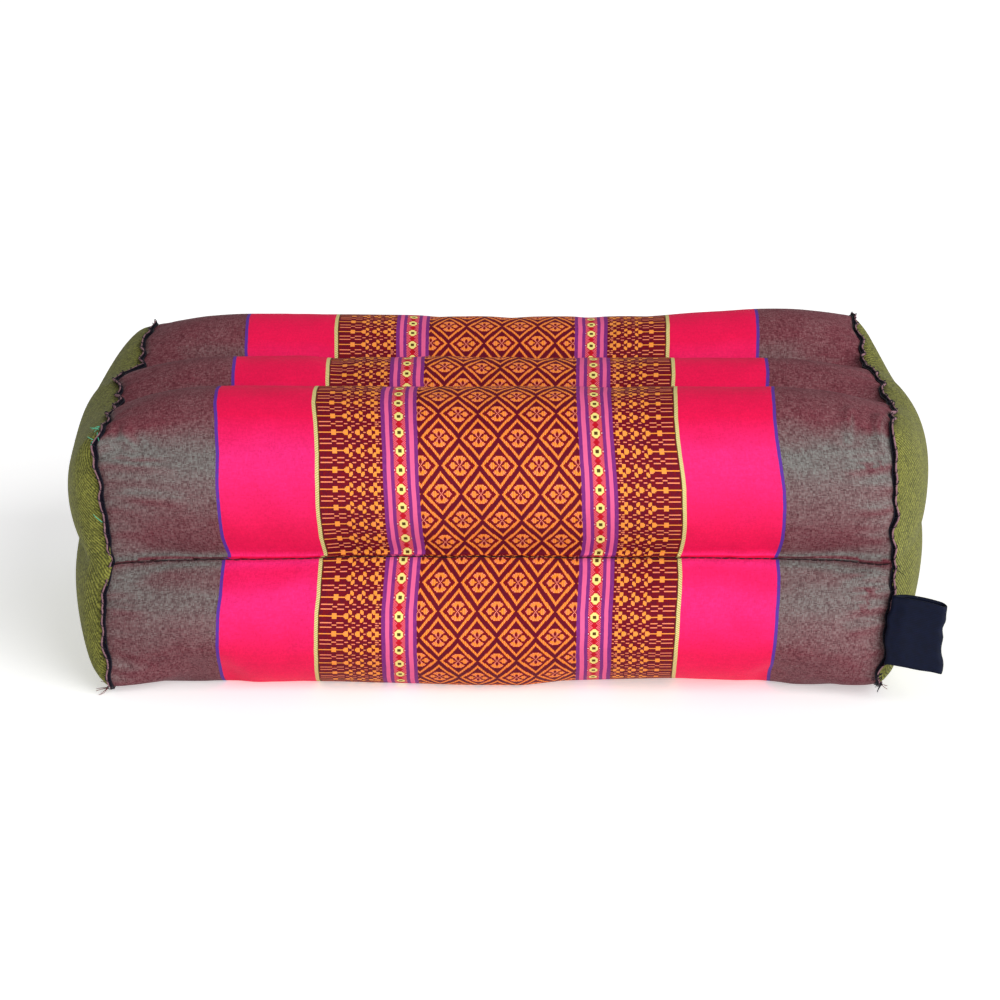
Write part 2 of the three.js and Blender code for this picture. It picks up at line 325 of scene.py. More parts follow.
# Creases in the cover: the line each follows on the cloth (mm across, mm round from the front
# channel), its half width and its depth.
CREASES = [
    ([(-148.7, 65), (-146.3, 57), (-143, 51)], 1.7, 1),
    ([(-153, 67), (-153.6, 59)], 1.5, 0.6),
    ([(-156, 47), (-143.4, 45), (-127.5, 43)], 1.8, 0.9),
    ([(-156, 31), (-141, 31), (-125, 29)], 1.8, 0.9),
    ([(-155, 26), (-149.8, 27), (-143, 25)], 1.8, 0.5),
    ([(-156, 14), (-149, 15), (-141, 14)], 1.8, 0.5),
    ([(-156, -22), (-150.6, -23), (-142, -25)], 1.7, 0.8),
    ([(-156, -35), (-147, -37)], 1.8, 0.5),
    ([(-156, -44), (-148, -47)], 1.7, -0.6),
    ([(-156, -49), (-150, -52), (-141, -53)], 1.8, 1),
    ([(140.2, 74), (138.7, 65), (138.3, 57)], 1.6, 1.2),
    ([(137, 71), (134, 60)], 1.6, 0.5),
    ([(152.5, 78), (151, 66), (152, 55)], 1.8, 1.1),
    ([(156, 48), (148.7, 45), (138.5, 43)], 1.7, 1.4),
    ([(156, 28), (150, 26), (142, 26)], 1.7, 0.9),
    ([(156, 13), (151, 12), (142, 12)], 1.7, 0.8),
    ([(156, -8), (148.5, -9), (140, -11)], 1.7, 0.9),
    ([(156, -14), (148, -16), (141, -17)], 1.7, 1.1),
    ([(156, -20), (148, -22), (141, -23)], 1.7, 1.1),
    ([(156, -28), (148, -30), (140, -32)], 1.8, 1.2),
    ([(156, -39), (149, -41)], 1.7, 0.9),
]


def creased(points, across, around):
    normal = outward(points)
    depth = np.zeros(points.shape[:2])
    for line, width, deep in CREASES:
        best = np.full(points.shape[:2], 1e9)
        share = np.zeros(points.shape[:2])
        count = len(line) - 1
        for i, (a, b) in enumerate(zip(line[:-1], line[1:])):
            du, dv = b[0] - a[0], b[1] - a[1]
            t = ((across - a[0]) * du + (around - a[1]) * dv) / (du * du + dv * dv)
            t = np.clip(t, 0, 1)
            far = np.hypot(across - a[0] - t * du, around - a[1] - t * dv)
            closer = far < best
            best = np.where(closer, far, best)
            share = np.where(closer, (i + t) / count, share)
        ends = np.sin(math.pi * np.clip(mix(0.08, 0.92, share), 0, 1)) ** 0.7
        depth += deep * ends * (bell(best, width) - 0.45 * bell(best - 2.2 * width, 1.2 * width))
    return points - normal * depth[..., None]


def mesh_piece(name, points, faces, coords=None):
    """A mesh in metres from points in mm; coords are its cloth coordinates, one for each point."""
    mesh = bpy.data.meshes.new(name)
    mesh.from_pydata((np.asarray(points) * MM).tolist(), [], np.asarray(faces).tolist())
    mesh.update()
    if coords is not None:
        layer = mesh.uv_layers.new(name="cloth")
        corner = np.zeros(len(mesh.loops), np.int32)
        mesh.loops.foreach_get("vertex_index", corner)
        layer.data.foreach_set("uv", np.asarray(coords, np.float32)[corner].ravel())
    mesh.polygons.foreach_set("use_smooth", np.ones(len(mesh.polygons), bool))
    made = bpy.data.objects.new(name, mesh)
    bpy.context.scene.collection.objects.link(made)
    return made


def grid_faces(number):
    a, b, c, d = number[:-1, :-1], number[:-1, 1:], number[1:, 1:], number[1:, :-1]
    return np.stack([a, b, c, d], axis=-1).reshape(-1, 4)


def sheet_faces(rows, cols):
    """The outer skin of a sheet, its inner skin on a second set of points, and its rim."""
    number = np.arange(rows * cols).reshape(rows, cols)
    skin = grid_faces(number)
    rim = np.concatenate([number[0, :-1], number[:-1, -1], number[-1, :0:-1], number[:0:-1, 0]])
    ahead = np.roll(rim, -1)
    edge = np.stack([rim, rim + number.size, ahead + number.size, ahead], axis=-1)
    return np.concatenate([skin, skin[:, ::-1] + number.size, edge])


# Making the cover

points = cover_points()
points = stuffed(points)
points = refined(points)
stations, steps, _ = points.shape
halfway = points[stations // 2]
lengths = np.linalg.norm(np.roll(halfway, -1, axis=0) - halfway, axis=1)
girth = lengths.sum()
around_ring = np.concatenate([[0], np.cumsum(lengths)[:-1]])
sewn_steps = 2 * np.cumsum([0] + LOBES[:-1])
sewn_at = around_ring[sewn_steps]
join = sewn_steps[5]  # the two ends of the cloth meet in the front channel of the base
around_ring[join:] -= girth
around = np.broadcast_to(around_ring, (stations, steps))

# The sewing draws the cloth together along a channel, so its stripes come closer there
DRAWN_ABOVE, DRAWN_BELOW, DRAWN_REACH = 0.034, 0.016, 12.0
gaps = np.array([(around_ring - s + girth / 2) % girth - girth / 2 for s in sewn_at])
near = np.abs(gaps).min(axis=0)
above = np.take_along_axis(gaps, np.abs(gaps).argmin(axis=0)[None], 0)[0] >= 0
straight = points[..., 0]
fade = 1 - smooth(np.abs(straight), 95, 150)
drawing = np.where(above, DRAWN_ABOVE, DRAWN_BELOW) * np.exp(-near / DRAWN_REACH)
across = straight * (1 + drawing * fade)
points = creased(points, across, around)

# The stripes lean on the front: mm round the girth, and mm they stand off their line along X,
# for the whole cloth and then what its left and right parts add
STRIPE_LEAN = {
    0: [
        (-55, 0), (-25, -0.2), (-3, 1.2), (3, 2.5), (12, 2.4), (42, 1), (62, 0), (82, -0.6), (105, 0),
    ],
    -1: [
        (-66, -0.5), (-43, 0.3), (-19, 1.5), (0, 0), (12, -0.6), (48, 1.4), (62, 0.8), (72, -0.3),
        (100, 0),
    ],
    1: [
        (-66, -1.7), (-43, -1.6), (-29, -0.6), (-10, 0), (0, -0.8), (12, -0.2), (34, -0.6),
        (48, -2), (55, -2.7), (64, -2.8), (82, -1.7), (112, 0),
    ],
}
for side, table in STRIPE_LEAN.items():
    lean = np.interp(around, *np.transpose([(-95, 0)] + table))
    across = across - lean * (smooth(side * straight, 12, 92) if side else 1)

# The bottom front edge stands off the floor in places: mm along X, and mm up
EDGE_RISE = [
    (-95, 0), (-80, 1), (-35, 1), (-10, 0.6), (10, 0.8), (26, 2.8), (40, 3.4), (75, 3.4), (90, 2.4),
    (122, 0),
]
under = np.interp(around, [-110, -85, -60, -48, -24], [0, 0.8, 1, 0.9, 0])
points[..., 2] += under * np.interp(straight, *np.transpose(EDGE_RISE))

# The front channel hangs a little lower towards the left end
CHANNEL_SAG = 1.7
points[..., 2] -= CHANNEL_SAG * smooth(-straight, 40, 95) * bell(around, 16)

# The stitches pull each channel into a tight crease, and the tubes close over it
TIGHT = dict(deep=6.5, reach=1.9, close=1.75, soft=6.0)
HELD_FRONT, HELD_OTHERS = (-2, 6), (0, 26)  # mm from an end seam over which a channel becomes tight
pull = np.zeros_like(points)
normal = outward(points)
for step, at in zip(sewn_steps, gaps):
    inward = -unit(normal[:, step - 2] + normal[:, step + 2])
    along = unit(points[:, step + 2] - points[:, step - 2])
    held = smooth(SEAM_HALF - np.abs(straight), *(HELD_OTHERS if step else HELD_FRONT))
    share = np.exp(-np.abs(at) / TIGHT["reach"])[None, :] * held
    shut = np.sign(at) * np.exp(-np.abs(at) / TIGHT["soft"]) * TIGHT["close"]
    pull += inward[:, None, :] * share[..., None] * TIGHT["deep"]
    pull -= along[:, None, :] * (shut[None, :] * held)[..., None]
points = points + pull

# The end seams wander a little along X
SEAM_WANDER = {
    -1: [(46, 1, 0.6), (21, 0.55, 2.4), (12.5, 0.3, 0.9)],
    1: [(52, 0.8, 2), (23, 0.5, 0.7), (13.3, 0.3, 3)],
}
SEAM_REACH = 14  # how far into the cover a pull at its end is felt
SEAM_PULLS = {  # where it stands off its line: mm round the girth, and mm along X
    -1: [
        (-75, 0), (-58, 1.7), (-42, -2.2), (-26, -3.7), (-14, -2.1), (0, -2.5), (16, -1.8),
        (31, 0.5), (42, -2.1), (57, -2.7), (73, 3), (88, -1.5), (105, -4), (130, -3.5), (160, -6),
        (190, -4), (215, -2), (240, 0),
    ],
    1: [
        (-76, 0), (-62, -4.4), (-54, -4.2), (-45, -2.2), (-38, -0.2), (-24, 0.5), (-11, 1.3),
        (10, 1.2), (24, 1.5), (36, 0.8), (49, -2.2), (61, -1.5), (88, 1.8), (122, 3.5), (158, 1.2),
        (195, 0),
    ],
}
CORNER_LIFT = dict(side=1, at=-60, wide=11, up=3.6)  # the right front corner is drawn up off the floor
for side, table in SEAM_WANDER.items():
    near_end = np.exp(-np.maximum(0, SEAM_HALF - side * straight) / SEAM_REACH)
    points[..., 0] += waves(around, table) * near_end
    points[..., 0] += np.interp(around, *np.transpose(SEAM_PULLS[side])) * near_end
    if side == CORNER_LIFT["side"]:
        lift = CORNER_LIFT["up"] * bell(around - CORNER_LIFT["at"], CORNER_LIFT["wide"])
        points[..., 2] += lift * near_end

# Fine gathers beside the sewing
RIPPLES = [(9.3, 0.5, 0.3), (13.7, 0.45, 1.9), (6.1, 0.22, 4), (21, 0.4, 2.6)]
SEAM_RIPPLES = [(10.5, 0.5, 0.9), (16.8, 0.5, 3.1), (7.2, 0.25, 5.2)]
normal = outward(points)
beside = np.exp(-near / 9.0) * (1 - np.exp(-near / 1.6))
ripple = 0.15 * waves(straight + 0.11 * around, RIPPLES) * beside
from_seam = SEAM_HALF - np.abs(straight)
ripple += 0.6 * waves(around + 20 * np.sign(straight), SEAM_RIPPLES) * (
    np.exp(-from_seam / 9) * (1 - np.exp(-np.maximum(from_seam, 0) / 2))
)
points = points + normal * ripple[..., None]
points[..., 2] = np.maximum(0, points[..., 2])

# Ring steps counted from the bottom front corner, as the end cloths need them
ROLL = -2 * UP
ROWS, COLS = 4 * UP, 2 * (2 * LEVEL + MID)
SKIN_ROUNDS = 1500


def end_surface(side):
    """The stuffed end inside a seam ring, as rows of points from the bottom edge up."""
    ring = wrapped(points[0 if side < 0 else -1])
    at = []
    for tube, count in zip((1, 2, 3, 4, 5, 0), LOBES):
        t, _, run = end_line(side, tube)
        at += list(len(at) + 2 * count * np.interp(np.arange(2 * count) / (2 * count), t, run))
    ring = np.roll(sampled(at, np.arange(len(ring)), ring), -ROLL, axis=0)
    front = ring[: ROWS + 1]
    top = ring[ROWS : ROWS + COLS + 1]
    back = ring[ROWS + COLS : 2 * ROWS + COLS + 1][::-1]
    base = wrapped(ring)[-COLS - 1 :][::-1]
    u = np.linspace(0, 1, COLS + 1)[None, :, None]
    v = np.linspace(0, 1, ROWS + 1)[:, None, None]
    made = base[None] * (1 - v) + top[None] * v + front[:, None] * (1 - u) + back[:, None] * u
    made -= front[0] * (1 - u) * (1 - v) + back[0] * u * (1 - v)
    made -= front[-1] * (1 - u) * v + back[-1] * u * v
    for _ in range(SKIN_ROUNDS):  # stretched across the ring like a skin
        sides = made[:-2, 1:-1] + made[2:, 1:-1] + made[1:-1, :-2] + made[1:-1, 2:]
        made[1:-1, 1:-1] += 0.95 * (sides / 4 - made[1:-1, 1:-1])
    u, v = 2 * u[..., 0] - 1, 2 * v[..., 0] - 1
    end = ENDS[side]
    above = v - end["peak"]
    top = domed(above / (1 - end["peak"]), *end["top"])
    upright = np.where(above > 0, top, domed(above / (1 + end["peak"]), *end["base"]))
    level = domed(u, *end["sides"])
    crease = end["crease"] * (0.35 + 0.65 * bell(u + 0.75, 0.6))
    crease = crease * np.exp(-np.abs(v) / end["crease_wide"])
    made[..., 0] += side * end["swell"] * upright * level * (1 + end["lean"] * u) * (1 - crease)
    return made, np.array(at)


def offset(rows, side, distance):
    a = np.gradient(rows, axis=1)
    b = np.gradient(rows, axis=0)
    return rows + unit(np.cross(a, b)) * side * distance


END_SHARES = [0.05, 0.15, 0.3, 0.5, 0.75, 1.0]  # rings from an end seam in to the middle of its end


def stuffed_end(side):
    """Rings of points that close the stuffed body just under an end cloth."""
    rows, at = end_surface(side)
    order = np.arange(steps + 1)
    turn = (np.interp(order[:-1], np.append(at, steps), order) - ROLL) % steps
    corners = [0, ROWS, ROWS + COLS, 2 * ROWS + COLS, steps]
    row = np.interp(turn, corners, [0, ROWS, ROWS, 0, 0])
    col = np.interp(turn, corners, [0, 0, COLS, COLS, 0])
    rings = []
    for share in END_SHARES:
        r, c = mix(row, ROWS / 2, share), mix(col, COLS / 2, share)
        i, j = np.minimum(r.astype(int), ROWS - 1), np.minimum(c.astype(int), COLS - 1)
        r, c = (r - i)[:, None], (c - j)[:, None]
        low, high = mix(rows[i, j], rows[i, j + 1], c), mix(rows[i + 1, j], rows[i + 1, j + 1], c)
        rings.append(mix(low, high, r) - np.array([side * CLEAR, 0, 0]))
    return np.stack(rings)


turned = np.concatenate([stuffed_end(-1)[::-1], points, stuffed_end(1)])
turned = wrapped(np.roll(turned, -join, axis=1), 1)
hidden = np.full((len(END_SHARES), steps), SEAM_HALF)
cloth_u = wrapped(np.roll(np.concatenate([-hidden, across, hidden]), -join, axis=1), 1)
cloth_v = np.roll(around_ring, -join)
cloth_v = np.broadcast_to(np.append(cloth_v, cloth_v[0] + girth), cloth_u.shape)
number = np.arange(cloth_u.size).reshape(cloth_u.shape)
cover = mesh_piece(
    "woven_cover",
    turned.reshape(-1, 3),
    grid_faces(number)[:, ::-1],
    np.stack([cloth_u, cloth_v], axis=-1).reshape(-1, 2),
)
SHARP = 0.9  # the body turns sharply at its end seams
closing = bmesh.new()
closing.from_mesh(cover.data)
bmesh.ops.remove_doubles(closing, verts=closing.verts, dist=1e-6)
for edge in closing.edges:
    inmost = min(abs(v.co.x) for v in edge.verts)
    if edge.calc_face_angle(0) > SHARP and inmost > (SEAM_HALF - SEAM_REACH) * MM:
        edge.smooth = False
closing.to_mesh(cover.data)
closing.free()

END_LAYERS = (0.4, 0.5, 1.5)  # an end cloth's inside, its outside at the rim, and its outside
end_cloths = {}
for side, name in SIDES.items():
    rows, _ = end_surface(side)
    u = np.abs(np.linspace(-1, 1, COLS + 1))[None, :]
    v = np.abs(np.linspace(-1, 1, ROWS + 1))[:, None]
    free = smooth(1 - np.maximum(u, v), 0, 0.12)[..., None]
    inner = offset(rows, side, END_LAYERS[0] * free)
    outer = offset(rows, side, mix(*END_LAYERS[1:], free))
    runs = []
    for axis in (1, 0):
        steps_on = np.diff(rows, axis=axis, prepend=rows[:, :1] if axis else rows[:1])
        run = np.cumsum(np.linalg.norm(steps_on, axis=-1), axis=axis)
        runs.append(run - np.take(run, [run.shape[axis] // 2], axis=axis))
    flat = np.stack([runs[0] * side, runs[1]], axis=-1).reshape(-1, 2)
    end_cloths[side] = mesh_piece(
        "end_cloth_" + name,
        np.concatenate([outer.reshape(-1, 3), inner.reshape(-1, 3)]),
        sheet_faces(ROWS + 1, COLS + 1)[:, ::side],
        np.concatenate([flat, flat]),
    )

# The raw edges of the two end seams, turned outwards and overcast
SEAM_POINTS = 900


def seam_frames(side):
    """Points round an end seam from the bottom front corner, with the way its edge stands and lies."""
    ring = wrapped(np.roll(points[0 if side < 0 else -1], -ROLL, axis=0))
    length = run_of(ring)
    at = np.linspace(0, length[-1], SEAM_POINTS, endpoint=False)
    ring = sampled(at, length, ring)
    ahead = np.roll(ring, -6, axis=0) - np.roll(ring, 6, axis=0)
    out = unit(np.stack([np.zeros(len(at)), -ahead[:, 2], ahead[:, 1]], axis=-1))
    down = smooth(-out[:, 2], 0.2, 0.8)
    tilt = np.radians(mix(EDGE_TILT, EDGE_TILT_BASE, down))
    lie = np.array([side, 0, 0])
    stand = out * np.cos(tilt)[:, None] + lie * np.sin(tilt)[:, None]
    thick = lie * np.cos(tilt)[:, None] - out * np.sin(tilt)[:, None]
    return at, length[-1], ring, stand, thick, down


def tube(path, radius, sides=6, closed=False):
    """A round thread along a path: its points and faces."""
    path = np.asarray(path, float)
    if closed:
        way = np.roll(path, -1, axis=0) - np.roll(path, 1, axis=0)
    else:
        way = np.gradient(path, axis=0)
    way = unit(way)
    up = np.where(np.abs(way[:, 2:]) > 0.9, np.array([[1.0, 0, 0]]), np.array([[0, 0, 1.0]]))
    a = unit(np.cross(way, up))
    b = np.cross(way, a)
    turn = np.linspace(0, 2 * math.pi, sides, endpoint=False)
    radius = np.broadcast_to(np.asarray(radius, float), len(path))
    ring = path[:, None] + radius[:, None, None] * (
        a[:, None] * np.cos(turn)[None, :, None] + b[:, None] * np.sin(turn)[None, :, None]
    )
    number = wrapped(np.arange(len(path) * sides).reshape(len(path), sides), 1)
    if closed:
        return ring.reshape(-1, 3), grid_faces(wrapped(number))
    caps = np.array([[0, k, k + 1, k + 2] for k in range(1, sides - 2, 2)])
    caps = np.concatenate([caps[:, ::-1], caps + number[-1, 0]])
    return ring.reshape(-1, 3), np.concatenate([grid_faces(number), caps])


def gathered(parts):
    """Several meshes as one."""
    starts = np.cumsum([0] + [len(p) for p, _ in parts])
    faces = [f + start for (_, f), start in zip(parts, starts)]
    return np.concatenate([p for p, _ in parts]), np.concatenate(faces)


EDGE_SWAY = {  # how the raw edge waves: length, height and phase of each ripple, in mm
    -1: [(17.5, 0.55, 0.4), (11.3, 0.35, 2.2), (31, 0.5, 4), (7.4, 0.15, 1)],
    1: [(15.2, 0.6, 1.4), (10.1, 0.35, 0.2), (27, 0.5, 2.9), (7.9, 0.2, 3.3)],
}
EDGE_CLOTH = 0.9
# Points over the raw edge, from the cover's side to the end cloth's: height, lay, and place on the cloth
EDGE_SECTION = [
    (0, -0.9, 0), (0.6, -0.85, 0.6), (1, -0.7, 1), (1.06, -0.35, 1.15), (1, 0, 1.3), (0.5, 0, 1.8),
    (0, 0, 2.3),
]
ROOT_SWAY = 0.35  # share of its waves at the root of the raw edge
OVERCAST = dict(step=4.6, over=0.17, root=0.28)  # spacing and radius of the stitches over the raw edge, and radius of the dark thread at its root, which also paints the shadow beside it

edges, overcasts = {}, {}
for side, name in SIDES.items():
    at, total, ring, stand, thick, down = seam_frames(side)
    fit = [(total / max(1, round(total / length)), h, phase) for length, h, phase in EDGE_SWAY[side]]
    sway = waves(at, fit)
    uneven = waves(at, [(length, h, phase + 2) for length, h, phase in fit])
    high = EDGE * (0.74 - 0.24 * down) + 0.3 * uneven
    levels = []
    for share, lay, _ in EDGE_SECTION:
        reach = (high * share - 0.2)[:, None]
        bent = (lay + sway * mix(ROOT_SWAY, 1, share))[:, None]
        levels.append(ring + stand * reach + thick * bent)
    levels = np.stack(levels, axis=1)
    levels[..., 2] = np.maximum(0.05, levels[..., 2])
    count, deep = levels.shape[:2]
    faces = grid_faces(wrapped(wrapped(np.arange(count * deep).reshape(count, deep)), 1))
    coords = np.stack([np.repeat(at, deep), np.tile([row[2] for row in EDGE_SECTION], count)], axis=-1)
    edges[side] = mesh_piece("seam_edge_" + name, levels.reshape(-1, 3), faces[:, ::side], coords)
    turns = round(total / OVERCAST["step"])
    t = np.arange(turns * 10)
    where = t / len(t) * total
    level = np.interp(where, at, high, period=total)
    bend = np.interp(where, at, sway, period=total)
    angle = 2 * math.pi * turns * t / len(t)
    share = 0.5 - 0.5 * np.cos(angle)
    reach = 0.2 + (level + 0.25) * share
    lay = -EDGE_CLOTH / 2 - (EDGE_CLOTH / 2 + 0.15) * np.sin(angle) + bend * mix(ROOT_SWAY, 1, share)
    start, rise, aside = (sampled(where, at, x, period=total) for x in (ring, stand, thick))
    path = start + rise * reach[:, None] + aside * lay[:, None]
    # A dark running thread along the root of the raw edge, which also paints the shadow line in the gap
    # between the edge and the cover
    root = ring + stand * 0.4 - thick * 1.0 + thick * (ROOT_SWAY * sway)[:, None]
    parts = [tube(path, OVERCAST["over"], 5, True), tube(root, OVERCAST["root"], closed=True)]
    overcasts[side] = mesh_piece("overcast_stitch_" + name, *gathered(parts))

# Stitches that hold the cover down in its channels, near black and almost end to end, so that they also
# paint the shade down in each channel
STITCH = dict(step=3.2, long=3.0, thick=0.25, sunk=0.4, front_from=0.8, others_from=24)
STITCH_TAPER = np.array([0.5, 0.9, 1, 1, 0.9, 0.5])
parts = []
normal = outward(points)
for step in sewn_steps:
    line = points[:, step] - normal[:, step] * STITCH["sunk"]
    lengths = run_of(line)
    ends = STITCH["others_from" if step else "front_from"]
    for start in np.arange(ends, lengths[-1] - ends - STITCH["long"], STITCH["step"]):
        path = sampled(np.linspace(start, start + STITCH["long"], len(STITCH_TAPER)), lengths, line)
        bow = np.sin(np.linspace(0, math.pi, len(STITCH_TAPER)))[:, None]
        path += normal[stations // 2, step] * (0.3 * bow - 0.15)
        parts.append(tube(path, STITCH["thick"] * STITCH_TAPER))
stitches = mesh_piece("channel_stitches", *gathered(parts))

# The label: a ribbon folded double, caught in the right front seam


def label_ribbon():
    r = RIBBON
    at, _, ring, stand, thick, _ = seam_frames(1)
    front = (ring[:, 1] < FRONT_OF) & (at < 140)
    tips = ring[front] + stand[front] * (EDGE + 0.3) + thick[front] * 0.6
    outer = r["gap"] / 2 + r["cloth"]
    straight = r["out"] - outer
    flat = np.linspace(0, straight, 15)
    open_by = smooth(flat, 0, 6)
    bend = np.linspace(-math.pi / 2, math.pi / 2, 9)[1:-1]
    middle = (r["gap"] + r["cloth"]) / 2
    leg = np.stack([flat, mix(0.5, middle, open_by)], axis=-1)
    bow = np.stack([straight + middle * np.cos(bend), middle * np.sin(bend)], axis=-1)
    line = np.concatenate([leg * (1, -1), bow, leg[::-1]])
    way = np.gradient(line, axis=0)
    side = unit(np.stack([way[:, 1], -way[:, 0]], axis=-1))
    run = run_of(line)
    heights = np.linspace(0, r["wide"], 23)
    skins, coords = [], []
    for lay in (r["cloth"] / 2, -r["cloth"] / 2):
        p = line + side * lay
        rows = []
        for h in heights:
            root = sampled(r["low"] + h, tips[:, 2], tips)
            share = np.maximum(0, p[:, 0]) / r["out"]
            wave = 0.5 * np.sin(2 * math.pi * (p[:, 0] / 17 + 0.1)) * (1 - h / r["wide"]) * share
            spread = 1 + 0.35 * smooth(h, 12, 28) * share
            x = root[0] + r["at"][0] + p[:, 0] * mix(0.97, 1.03, 1 - h / r["wide"])
            y = root[1] + r["at"][1] + p[:, 1] * spread + r["lean"] * share**1.5
            z = r["low"] + h - r["droop"] * share**2 + wave
            rows.append(np.stack([x, y, z], axis=-1))
        skins.append(np.stack(rows))
        coords.append(np.stack(np.broadcast_arrays(run[None, :], heights[:, None]), axis=-1))
    return mesh_piece(
        "ribbon_label",
        np.concatenate([s.reshape(-1, 3) for s in skins]),
        sheet_faces(*skins[0].shape[:2]),
        np.concatenate([c.reshape(-1, 2) for c in coords]),
    )


label = label_ribbon()

# Yarn ends that fray out of the front seams: the end, the height on its seam, the way they point,
# how far they spread, how many, how long and of which yarn
FRAYED = [
    (-1, 2, (-0.9, -0.5, -0.1), 0.55, 10, 4.2, "wine"),
    (1, 8, (-0.85, -0.4, -0.2), 0.3, 13, 4, "navy"),
    (1, 6, (0.2, -0.9, 0), 0.4, 3, 2.2, "wine"),
    (-1, 108, (-0.7, -0.7, 0.1), 0.8, 6, 3.2, "mint"),
    (-1, 75, (-0.7, -0.5, 0.8), 0.1, 1, 6.5, "mint"),
    (1, 53, (0.5, -0.8, 0.3), 0.7, 3, 2.8, "navy"),
]
loose = {"wine": [], "navy": [], "mint": []}
for side, high, way, spread, count, long, yarn in FRAYED:
    _, _, ring, stand, _, _ = seam_frames(side)
    front = np.where(ring[:, 1] < FRONT_OF)[0]
    root = front[np.abs(ring[front, 2] - high).argmin()]
    for n in range(count):
        turn_by = [math.sin(5.1 * n + 1.7 * k + high) for k in range(6)]
        k = (root + round(7 * turn_by[0])) % len(ring)
        start = ring[k] + stand[k] * 1.8 + np.array([side * 0.6, -0.2, 0])
        lead = np.array(way) + spread * np.array(turn_by[1:4])
        lead *= long * (1 + 0.3 * turn_by[4]) / np.linalg.norm(lead)
        t = np.linspace(0, 1, 9)[:, None]
        path = start + lead * t + np.array([turn_by[5], 0.3, turn_by[2] - 0.4]) * 0.9 * t**2
        path[:, 2] = np.maximum(0.3, path[:, 2])
        loose[yarn].append(tube(path, np.linspace(0.19, 0.1, 9), 4))
loose = {yarn: mesh_piece("loose_yarn_" + yarn, *gathered(parts)) for yarn, parts in loose.items()}

# Materials

YARN = dict(
    violet="#6A2C94", violet_blue="#4F3B9E", purple="#762A78", purple_red="#8A3082",
    light_pink="#EC6498", pale_yellow="#E4DA96", ochre="#B8A55A", hot_pink="#EE2270",
    bright_pink="#F82A7C", crimson="#F01350", mauve_red="#763641", mauve_grey="#6D6C69",
    maroon="#7E0814", plum="#560A2A", orange="#FF9E28", peach="#FF9A58", rust="#F0481A",
    flower_pink="#FA8A70", red="#D8152A", flower_yellow="#F7E88A", flower_brown="#5A3A14",
    dot_pink="#F07088", dot_pale="#FFE6DC",
)


def ink(code):
    """A colour in linear light, from the name of a yarn or an sRGB hex code."""
    code = YARN.get(code, code)
    parts = [int(code[i : i + 2], 16) / 255 for i in (1, 3, 5)]
    return tuple(p / 12.92 if p <= 0.04045 else ((p + 0.055) / 1.055) ** 2.4 for p in parts) + (1.0,)


class Value:
    """What a shader node gives out, to reckon with as with a number."""

    def __init__(self, look, socket):
        self.look, self.socket = look, socket

    def outputs(self, *which):
        return [Value(self.look, self.socket.node.outputs[k]) for k in which]

    def maths(self, operation, *others):
        return self.look.add("Math." + operation, self, *others)

    def __rsub__(self, other):
        return self.look.add("Math.SUBTRACT", other, self)

    __add__ = partialmethod(maths, "ADD")
    __sub__ = partialmethod(maths, "SUBTRACT")
    __mul__ = partialmethod(maths, "MULTIPLY")
    __truediv__ = partialmethod(maths, "DIVIDE")
    above = partialmethod(maths, "GREATER_THAN")
    under = partialmethod(maths, "LESS_THAN")
    larger = partialmethod(maths, "MAXIMUM")
    rounded = partialmethod(maths, "ROUND")
    bare = partialmethod(maths, "ABSOLUTE")

    def cell(self, size):
        return (self / size).maths("FLOOR")

    def wave(self, length):
        return (self * (2 * math.pi / length)).maths("SINE")

    def fit(self, *ends):
        """Carries one range over to another, and stops at its ends."""
        return self.look.add("MapRange", self, *ends)


class Look:
    """A material, made by adding its shader nodes one by one."""

    def __init__(self, name):
        self.made = bpy.data.materials.new(name)
        self.made.use_nodes = True
        self.made.node_tree.nodes.clear()

    def add(self, kind, *values, out=0, **named):
        """Adds one node: the kind may carry its operation, and values fill its inputs in order."""
        kind, _, operation = kind.partition(".")
        tree = self.made.node_tree
        node = tree.nodes.new("ShaderNode" + kind)
        if operation:
            node.operation = operation
        for key, value in [*enumerate(values), *named.items()]:
            if hasattr(node, str(key)):
                setattr(node, key, value)
                continue
            socket = node.inputs[key if isinstance(key, int) else key.replace("_", " ")]
            if isinstance(value, Value):
                tree.links.new(value.socket, socket)
            else:
                socket.default_value = value
        return Value(self, node.outputs[out]) if node.outputs else node

    def flat(self):
        """The cloth's own millimetres: together, then across and along."""
        coords = self.add("UVMap", uv_map="cloth")
        return [coords] + self.add("SeparateXYZ", coords).outputs(0, 1)

    def stretched(self, coords, *scale):
        return self.add("Mapping", coords, Scale=scale)

    def noise(self, where, scale, detail, rough=0.5):
        return self.add("TexNoise", out="Fac", Vector=where, Scale=scale, Detail=detail, Roughness=rough)

    def specks(self, x, y):
        """One chance value for each whole x and y."""
        where = self.add("CombineXYZ", x, y)
        return self.add("TexWhiteNoise", out="Value", Vector=where, noise_dimensions="2D")

    def blend(self, share, *colours):
        colours = [c if isinstance(c, Value) else ink(c) for c in colours]
        return self.add("MixRGB", share, *colours)

    def shaded(self, colour, value):
        return self.add("HueSaturation", Color=colour, Value=value)

    def skin(self, colour, relief=(), **surface):
        """Ends the material. Relief is its height, its strength and its depth in metres."""
        if relief:
            surface["Normal"] = self.add("Bump", **dict(zip(("Height", "Strength", "Distance"), relief)))
        self.add("OutputMaterial", self.add("BsdfPrincipled", Base_Color=colour, **surface))
        return self.made


FIELD_HALF, BAND_OUT, RED_MIDDLE = 32.0, 71.8, 39.25  # mm from the middle of the cover
STRIPES = [  # mm from the middle of the cover at which each stripe of the warp begins
    (FIELD_HALF, "purple"), (33.5, "light_pink"), (35.3, "purple"), (36.7, "red_band"),
    (41.8, "purple"), (43.2, "light_pink"), (44.8, "purple"), (46.4, "side_band"),
    (BAND_OUT, "flower_brown"), (72.15, "pale_yellow"), (73.6, "hot_pink"), (111.5, "violet"),
    (112.8, "mauve"),
]
THREAD = 0.52  # spacing of the crossing threads
